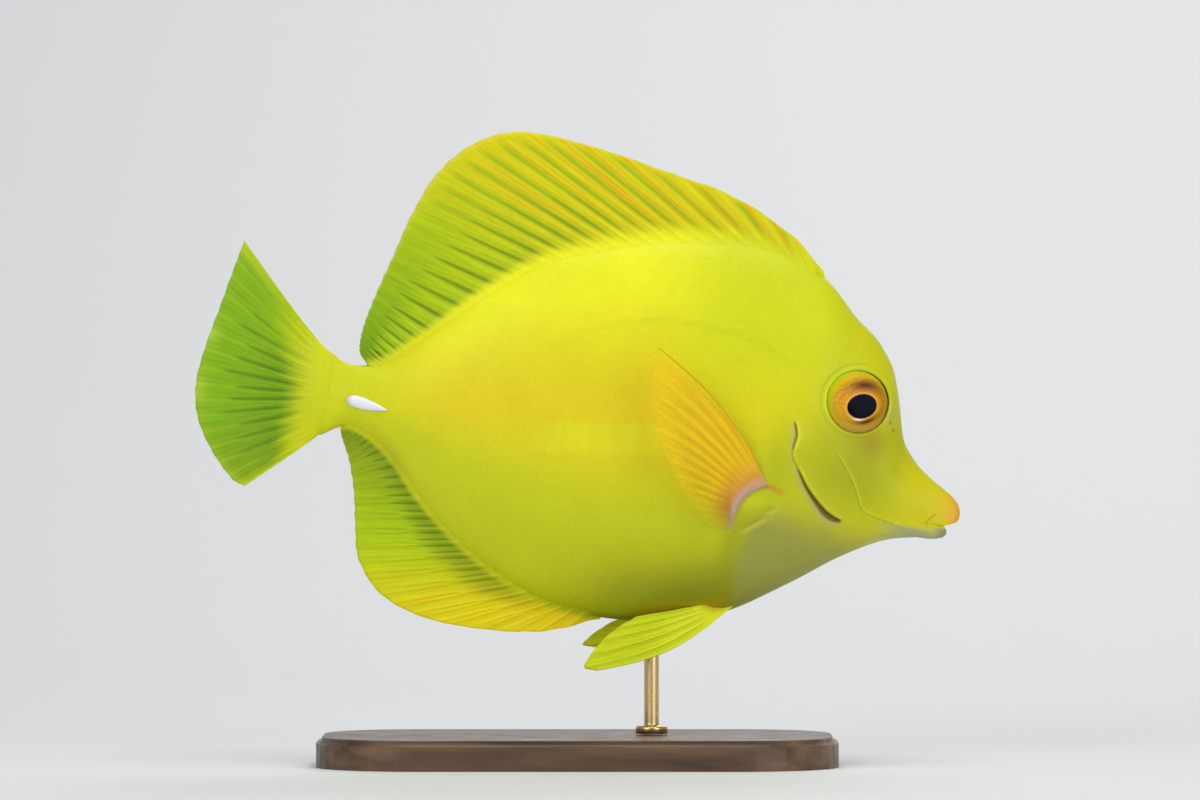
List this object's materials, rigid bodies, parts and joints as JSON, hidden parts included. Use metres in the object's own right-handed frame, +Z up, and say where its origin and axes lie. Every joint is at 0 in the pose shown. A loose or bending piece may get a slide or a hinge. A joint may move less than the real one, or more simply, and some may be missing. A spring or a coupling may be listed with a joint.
{
  "type": "yellow tang fish model",
  "caption": "Life-size still model of a yellow tang with tall rayed fins, held head-down on a flat oval display stand by one short rod.",
  "frame": {"origin": "on the floor under the middle of the whole model's box: the underside of the stand's base is z = 0", "axes": "+X points the way the fish swims, head down by 11 degrees, +Y is the fish's left, +Z is up"},
  "size_m": [0.153, 0.056, 0.1267],
  "materials": {
    "skin": "bright lemon yellow fish skin with fine scales and a wet sheen, greener and duller on the throat and lower flank",
    "fin": "thin yellow-green fin skin with raised rays, dark olive stripes between the rear rays and an orange front edge",
    "pectoral": "thin see-through orange fin skin over fine rays, pinkish white at the root",
    "eye": "golden orange iris round a blue-black pupil, wet gloss",
    "cornea": "clear wet dome over the iris",
    "bone": "smooth bluish white spine",
    "stand_wood": "dark oiled walnut, satin",
    "stand_metal": "satin brass"
  },
  "bodies": {
    "root": {"head": "skin", "lower_jaw": "skin", "torso": "skin", "tail_stem": "skin", "dorsal_fin": "fin", "anal_fin": "fin", "caudal_fin": "fin", "pectoral_fin_left": "pectoral", "pectoral_fin_right": "pectoral", "pelvic_fin_left": "fin", "pelvic_fin_right": "fin", "eye_left": "eye", "eye_right": "eye", "tail_spine_left": "bone", "tail_spine_right": "bone", "stand_base": "stand_wood", "stand_rod": "stand_metal"}
  },
  "joints": []
}
